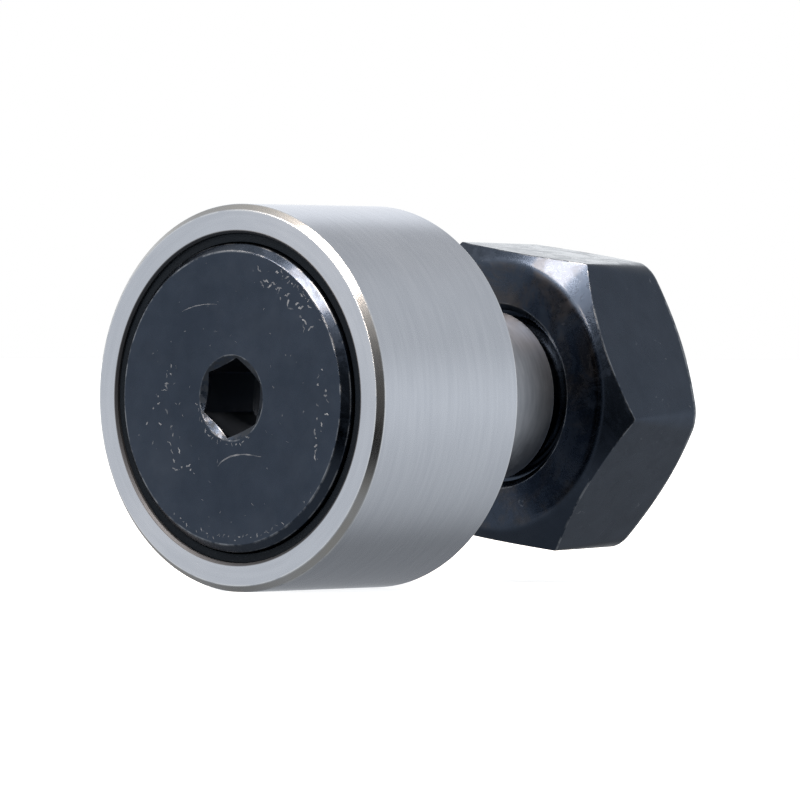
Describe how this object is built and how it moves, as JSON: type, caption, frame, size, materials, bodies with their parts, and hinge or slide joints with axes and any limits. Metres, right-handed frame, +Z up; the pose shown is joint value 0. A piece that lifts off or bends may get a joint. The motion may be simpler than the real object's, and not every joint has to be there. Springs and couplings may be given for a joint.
{
  "type": "cam follower",
  "caption": "Stud-type cam follower: a caged needle roller in a hardened ring on a threaded stud with a socket head and hexagon nut.",
  "frame": {"origin": "on the stud's axis, in the face of the side plate that seats against the bracket, where the shank starts", "axes": "+Y along the stud from the head to the threaded end, +Z up, the head faces -Y"},
  "size_m": [0.022, 0.036, 0.022],
  "materials": {
    "ground_steel": "fine ground, satin",
    "stud_steel": "black oxide head and thread, ground shank",
    "black_oxide": "black oxide, oiled satin",
    "seal_polymer": "matt moulded",
    "cage_steel": "pressed strip",
    "needle_steel": "lapped"
  },
  "bodies": {
    "stud": {"stud": "stud_steel", "side_plate": "black_oxide"},
    "roller": {"outer_ring": "ground_steel", "front_seal_ring": "seal_polymer", "rear_seal_ring": "seal_polymer"},
    "cage": {"needle_cage": "cage_steel"},
    "needle_01": {"needle_01": "needle_steel"},
    "needle_02": {"needle_02": "needle_steel"},
    "needle_03": {"needle_03": "needle_steel"},
    "needle_04": {"needle_04": "needle_steel"},
    "needle_05": {"needle_05": "needle_steel"},
    "needle_06": {"needle_06": "needle_steel"},
    "needle_07": {"needle_07": "needle_steel"},
    "needle_08": {"needle_08": "needle_steel"},
    "needle_09": {"needle_09": "needle_steel"},
    "needle_10": {"needle_10": "needle_steel"},
    "needle_11": {"needle_11": "needle_steel"},
    "needle_12": {"needle_12": "needle_steel"},
    "needle_13": {"needle_13": "needle_steel"},
    "needle_14": {"needle_14": "needle_steel"},
    "needle_15": {"needle_15": "needle_steel"},
    "needle_16": {"needle_16": "needle_steel"},
    "nut": {"hex_nut": "black_oxide"}
  },
  "joints": [
    {"name": "roller_spin", "type": "hinge", "parent": "stud", "child": "roller", "pos_m": [0, -0.0066, 0], "axis": [0, 1, 0], "continuous": true},
    {"name": "cage_spin", "type": "hinge", "parent": "stud", "child": "cage", "pos_m": [0, -0.0066, 0], "axis": [0, 1, 0], "continuous": true},
    {"name": "needle_01_spin", "type": "hinge", "parent": "cage", "child": "needle_01", "pos_m": [0.0071, -0.0066, 0], "axis": [0, 1, 0], "continuous": true},
    {"name": "needle_02_spin", "type": "hinge", "parent": "cage", "child": "needle_02", "pos_m": [0.00656, -0.0066, 0.00272], "axis": [0, 1, 0], "continuous": true},
    {"name": "needle_03_spin", "type": "hinge", "parent": "cage", "child": "needle_03", "pos_m": [0.00502, -0.0066, 0.00502], "axis": [0, 1, 0], "continuous": true},
    {"name": "needle_04_spin", "type": "hinge", "parent": "cage", "child": "needle_04", "pos_m": [0.00272, -0.0066, 0.00656], "axis": [0, 1, 0], "continuous": true},
    {"name": "needle_05_spin", "type": "hinge", "parent": "cage", "child": "needle_05", "pos_m": [0, -0.0066, 0.0071], "axis": [0, 1, 0], "continuous": true},
    {"name": "needle_06_spin", "type": "hinge", "parent": "cage", "child": "needle_06", "pos_m": [-0.00272, -0.0066, 0.00656], "axis": [0, 1, 0], "continuous": true},
    {"name": "needle_07_spin", "type": "hinge", "parent": "cage", "child": "needle_07", "pos_m": [-0.00502, -0.0066, 0.00502], "axis": [0, 1, 0], "continuous": true},
    {"name": "needle_08_spin", "type": "hinge", "parent": "cage", "child": "needle_08", "pos_m": [-0.00656, -0.0066, 0.00272], "axis": [0, 1, 0], "continuous": true},
    {"name": "needle_09_spin", "type": "hinge", "parent": "cage", "child": "needle_09", "pos_m": [-0.0071, -0.0066, 0], "axis": [0, 1, 0], "continuous": true},
    {"name": "needle_10_spin", "type": "hinge", "parent": "cage", "child": "needle_10", "pos_m": [-0.00656, -0.0066, -0.00272], "axis": [0, 1, 0], "continuous": true},
    {"name": "needle_11_spin", "type": "hinge", "parent": "cage", "child": "needle_11", "pos_m": [-0.00502, -0.0066, -0.00502], "axis": [0, 1, 0], "continuous": true},
    {"name": "needle_12_spin", "type": "hinge", "parent": "cage", "child": "needle_12", "pos_m": [-0.00272, -0.0066, -0.00656], "axis": [0, 1, 0], "continuous": true},
    {"name": "needle_13_spin", "type": "hinge", "parent": "cage", "child": "needle_13", "pos_m": [0, -0.0066, -0.0071], "axis": [0, 1, 0], "continuous": true},
    {"name": "needle_14_spin", "type": "hinge", "parent": "cage", "child": "needle_14", "pos_m": [0.00272, -0.0066, -0.00656], "axis": [0, 1, 0], "continuous": true},
    {"name": "needle_15_spin", "type": "hinge", "parent": "cage", "child": "needle_15", "pos_m": [0.00502, -0.0066, -0.00502], "axis": [0, 1, 0], "continuous": true},
    {"name": "needle_16_spin", "type": "hinge", "parent": "cage", "child": "needle_16", "pos_m": [0.00656, -0.0066, -0.00272], "axis": [0, 1, 0], "continuous": true},
    {"name": "nut_travel", "type": "slide", "parent": "stud", "child": "nut", "axis": [0, 1, 0], "range_m": [0, 0.016]}
  ],
  "couplings": [
    {"joint": "cage_spin", "follows": "roller_spin", "ratio": 0.57042},
    {"joint": "needle_01_spin", "follows": "roller_spin", "ratio": 3.5326},
    {"joint": "needle_02_spin", "follows": "roller_spin", "ratio": 3.5326},
    {"joint": "needle_03_spin", "follows": "roller_spin", "ratio": 3.5326},
    {"joint": "needle_04_spin", "follows": "roller_spin", "ratio": 3.5326},
    {"joint": "needle_05_spin", "follows": "roller_spin", "ratio": 3.5326},
    {"joint": "needle_06_spin", "follows": "roller_spin", "ratio": 3.5326},
    {"joint": "needle_07_spin", "follows": "roller_spin", "ratio": 3.5326},
    {"joint": "needle_08_spin", "follows": "roller_spin", "ratio": 3.5326},
    {"joint": "needle_09_spin", "follows": "roller_spin", "ratio": 3.5326},
    {"joint": "needle_10_spin", "follows": "roller_spin", "ratio": 3.5326},
    {"joint": "needle_11_spin", "follows": "roller_spin", "ratio": 3.5326},
    {"joint": "needle_12_spin", "follows": "roller_spin", "ratio": 3.5326},
    {"joint": "needle_13_spin", "follows": "roller_spin", "ratio": 3.5326},
    {"joint": "needle_14_spin", "follows": "roller_spin", "ratio": 3.5326},
    {"joint": "needle_15_spin", "follows": "roller_spin", "ratio": 3.5326},
    {"joint": "needle_16_spin", "follows": "roller_spin", "ratio": 3.5326}
  ]
}
